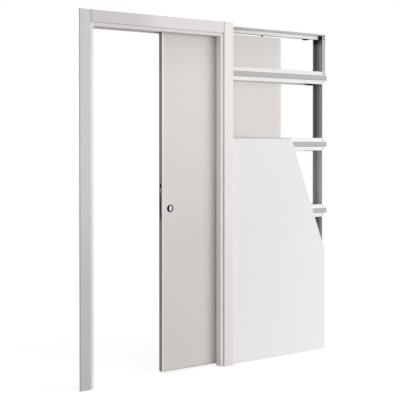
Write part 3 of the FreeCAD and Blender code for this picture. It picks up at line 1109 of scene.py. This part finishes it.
@dataclass
class SlidingGear:
    """Track, trolleys, stops and the floor guide."""

    screws: CrossScrews
    plates: tuple[str, ...] = ("hanger_plate_lead", "hanger_plate_trail")
    trolleys: tuple[str, ...] = ("trolley_lead", "trolley_trail")
    tyre_crown: float = 0.0006
    hub_radius: float = 0.0075
    hub_sink: float = 0.0008
    steps: int = 40
    axle_offsets: Span = (-0.022, 0.022)
    bore: float = 0.0031
    near_face: float = 0.0085
    edge: float = 0.0008
    plate_screws: tuple[float, ...] = (-0.026, -0.014, 0.014, 0.026)

    def build(self) -> None:
        """Dress the gear, turn the rollers and screw the hanger plates down."""
        dress(TRACK, "sliding_track")
        dress(RUBBER, "track_stop_front", "track_stop_rear")
        dress(NYLON, "floor_guide")
        dress(ZINC, *self.plates)
        dress(BLACK_STEEL, *self.trolleys)
        self.rollers()
        marks = []
        for name in self.plates:
            low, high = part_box(name)
            middle = (low.x + high.x) / 2
            for along in self.plate_screws:
                marks.append((Vector((middle + along, 0.0, high.z)), Vector((0.0, 0.0, 1.0))))
        self.screws.build("hanger_screws", marks, Body.DOOR, STEEL, HANGER_SCREW)

    def rollers(self) -> None:
        """Turn the crowned rollers that stand for the plain ones."""
        low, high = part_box("trolley_wheels")
        radius = (high.z - low.z) / 2
        centre_z = (high.z + low.z) / 2
        width = high.y - self.near_face
        crown = radius - self.tyre_crown
        side = crown - self.edge
        profile = [
            (self.bore, self.hub_sink), (self.hub_radius, self.hub_sink), (self.hub_radius, 0.0),
            (side, 0.0), (crown, self.edge), (radius, width / 2), (crown, width - self.edge),
            (side, width), (self.hub_radius, width), (self.hub_radius, width - self.hub_sink),
            (self.bore, width - self.hub_sink),
        ]
        shape = bmesh.new()
        for name in self.trolleys:
            box_low, box_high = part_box(name)
            middle = (box_low.x + box_high.x) / 2
            for offset in self.axle_offsets:
                for start in (self.near_face, -self.near_face - width):
                    turn_about_y(shape, Vector((middle + offset, start, centre_z)), profile, self.steps)
        piece = piece_from("crowned_rollers", shape, NYLON)
        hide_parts("trolley_wheels")
        seat(piece, Body.DOOR)


@dataclass
class DoorLeaf:
    """Flush leaf with its lippings and furniture."""

    screws: CrossScrews
    steps: int = 72
    rim: tuple[Span, ...] = (
        (0.0215, 0.0024), (0.0226, 0.0008), (0.0229, -0.0003), (0.0234, -0.0010), (0.0243, -0.0014),
        (0.0256, -0.0013), (0.0265, -0.0009), (0.0269, -0.0003), (0.0270, 0.0), (0.0240, 0.0),
        (0.0240, 0.0100), (0.0, 0.0100))
    rim_sharp: float = 45.0
    dish_floor: float = 0.0088
    dish_edge: float = 0.0204
    dish_curve: float = 0.0420
    dish_rings: int = 10
    plate_screw_inset: float = 0.014

    def build(self) -> None:
        """Dress the leaf, turn the pulls and screw the lock's plate on."""
        dress(LEAF, "door_leaf")
        dress(LIPPING, "lipping_trail")
        dress(LEAD_LIPPING, "lipping_lead")
        dress(DARK_STEEL, "lock_face_plate")
        dress(BLACK_STEEL, "edge_pull")
        self.pull("flush_pull_front", Side.FINISHED)
        self.pull("flush_pull_rear", Side.FAR)
        low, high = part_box("lock_face_plate")
        way = Vector((-1.0, 0.0, 0.0))
        heights = (low.z + self.plate_screw_inset, high.z - self.plate_screw_inset)
        marks = [(Vector((low.x, 0.0, height)), way) for height in heights]
        self.screws.build("lock_screws", marks, Body.DOOR, STEEL, PLATE_SCREW)

    def dish(self) -> Profile:
        """Round bottom of the pull.

        Returns:
            Its (radius, depth) points from the middle out to the wall.
        """
        points = []
        for ring in range(self.dish_rings + 1):
            radius = self.dish_edge * ring / self.dish_rings
            rise = self.dish_curve - math.sqrt(self.dish_curve ** 2 - radius ** 2)
            points.append((radius, self.dish_floor - rise))
        return points

    def pull(self, node: str, side: Side) -> None:
        """Turn a dished pull with a rolled rim in place of the plain cup.

        Args:
            node: CAD node that it stands for.
            side: Side of the leaf that it is on.
        """
        low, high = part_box(node)
        leaf_low, leaf_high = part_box("door_leaf")
        face = leaf_low.y if side is Side.FINISHED else leaf_high.y
        centre = Vector(((low.x + high.x) / 2, face, (low.z + high.z) / 2))
        profile = [(radius, -side.value * depth) for radius, depth in (*self.dish(), *self.rim)]
        shape = bmesh.new()
        turn_about_y(shape, centre, profile, self.steps)
        piece = piece_from("dished_" + node, shape, CHROME, sharp=self.rim_sharp)
        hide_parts(node)
        seat(piece, Body.DOOR)


@dataclass
class Board:
    """Plasterboard over the lower pocket."""

    def build(self) -> None:
        """Dress the board."""
        dress(PAPER, "plasterboard")


@dataclass(frozen=True)
class Panel:
    """Soft panel light: its place and aim, width and height in metres, watts and beam in degrees."""

    name: str
    place: Place
    aim: Place
    size: Span
    power: float
    spread: float = 180.0

    def hang(self) -> None:
        """Hang the light at its place and turn it to its aim."""
        light = bpy.data.lights.new(self.name, "AREA")
        light.shape = "RECTANGLE"
        light.size, light.size_y = self.size
        light.energy = self.power
        light.spread = math.radians(self.spread)
        lamp = in_scene(self.name, light)
        lamp.location = self.place
        lamp.visible_glossy = False
        way = Vector(self.aim) - Vector(self.place)
        lamp.rotation_euler = way.to_track_quat("-Z", "Y").to_euler()


@dataclass
class Studio:
    """White room, soft lights and the camera."""

    camera_place: Place = (-3.2832, -4.6217, 1.4199)
    camera_yaw: float = 33.847
    camera_pitch: float = 0.714
    lens: float = 78.96
    sensor: float = 36.0
    shift: Span = (-0.0007, -0.1140)
    sight: float = 100.0
    room_light: float = 0.65
    floor_reach: float = 14.0
    floor_parts: int = 8
    floor_tone: float = 0.35
    floor_lift: float = 0.775
    floor_fade: Span = (1.5, 4.5)
    card_tone: float = 0.01
    card_ends: tuple[Span, Span] = ((-0.12, -0.40), (-0.12, -0.06))
    card_heights: Span = (0.72, 1.28)
    key_panel: Panel = Panel(
        "key_panel", place=(4.74, -5.65, 1.75), aim=(0.0, 0.0, 1.2), size=(6.0, 3.4), power=388.0)
    head_panel: Panel = Panel(
        "head_panel", place=(-1.5, -1.7, 0.2), aim=(-0.4, -0.1, 2.1), size=(0.6, 0.4), power=0.9, spread=60.0)

    def build(self) -> None:
        """Set up the room, with a large panel on the right and a low one that lifts the head."""
        self.world()
        self.floor()
        self.flag()
        self.key_panel.hang()
        self.head_panel.hang()
        self.camera()
        bpy.context.scene.view_settings.view_transform = "Standard"

    def seen(self, wire: Wiring) -> Socket:
        """Find where the eye, a gloss or a glass looks at the white room.

        Args:
            wire: Wiring of the material or world.

        Returns:
            Socket that is 1 there and 0 elsewhere.
        """
        path = wire.add("ShaderNodeLightPath").outputs
        either = wire.math("MAXIMUM", path["Is Camera Ray"], path["Is Glossy Ray"])
        return wire.math("MAXIMUM", either, path["Is Transmission Ray"])

    def world(self) -> None:
        """White to the eye, and a plain soft light on the object."""
        world = bpy.data.worlds.new("white_room")
        bpy.context.scene.world = world
        world.use_nodes = True
        wire = Wiring(world.node_tree)
        shades = {0: self.seen(wire)}
        for index, strength in ((1, self.room_light), (2, 1.0)):
            shades[index] = wire.out("ShaderNodeBackground", {"Color": WHITE, "Strength": strength})
        wire.add("ShaderNodeOutputWorld", {0: wire.out("ShaderNodeMixShader", shades)})

    def matt(self, wire: Wiring, tone: float) -> Socket:
        """Plain matt shader of a grey tone."""
        return wire.out("ShaderNodeBsdfDiffuse", {"Color": (tone, tone, tone)})

    def floor(self) -> None:
        """Pale floor that keeps the object's shadow and fades into the room."""
        material = bpy.data.materials.new("pale_floor")
        material.use_nodes = True
        wire = Wiring(material.node_tree)
        away = wire.length(wire.add("ShaderNodeTexCoord").outputs["Object"])
        lift = wire.math("MULTIPLY", self.seen(wire), self.floor_lift)
        glow = wire.out("ShaderNodeEmission", {"Strength": lift})
        near = wire.out("ShaderNodeAddShader", {0: self.matt(wire, self.floor_tone), 1: glow})
        white = wire.out("ShaderNodeEmission", {"Strength": self.seen(wire)})
        far = wire.remap(away, self.floor_fade)
        both = wire.out("ShaderNodeMixShader", {0: far, 1: near, 2: white})
        wire.add("ShaderNodeOutputMaterial", {0: both})
        shape = bmesh.new()
        parts = self.floor_parts
        bmesh.ops.create_grid(shape, x_segments=parts, y_segments=parts, size=self.floor_reach)
        floor = in_scene("studio_floor", mesh_from("studio_floor", shape, material))

    def flag(self) -> None:
        """Dark card beside the object that only polished metal mirrors."""
        material = bpy.data.materials.new("dark_card")
        material.use_nodes = True
        wire = Wiring(material.node_tree)
        wire.add("ShaderNodeOutputMaterial", {0: self.matt(wire, self.card_tone)})
        shape = bmesh.new()
        (x0, y0), (x1, y1) = self.card_ends
        low, high = self.card_heights
        corners = [(x0, y0, low), (x1, y1, low), (x1, y1, high), (x0, y0, high)]
        shape.faces.new([shape.verts.new(corner) for corner in corners])
        card = in_scene("studio_card", mesh_from("studio_card", shape, material))
        card.visible_camera = False
        card.visible_diffuse = False
        card.visible_transmission = False
        card.visible_shadow = False

    def camera(self) -> None:
        """Camera at the picture's angle."""
        data = bpy.data.cameras.new("view_camera")
        data.lens = self.lens
        data.sensor_fit = "HORIZONTAL"
        data.sensor_width = self.sensor
        data.shift_x, data.shift_y = self.shift
        data.clip_end = self.sight
        eye = in_scene("view_camera", data)
        eye.location = self.camera_place
        eye.rotation_euler = (math.radians(90.0 - self.camera_pitch), 0.0, math.radians(-self.camera_yaw))
        bpy.context.scene.camera = eye


def main() -> None:
    """Build every sub-assembly in order."""
    logging.basicConfig(level=logging.INFO, format="%(name)s: %(message)s")
    screws = CrossScrews()
    knurl = Knurl()
    CasedDoorway(screws).build()
    PocketFrame(screws, knurl).build()
    SlidingGear(screws).build()
    DoorLeaf(screws).build()
    Board().build()
    Studio().build()


if __name__ == "__main__":
    main()
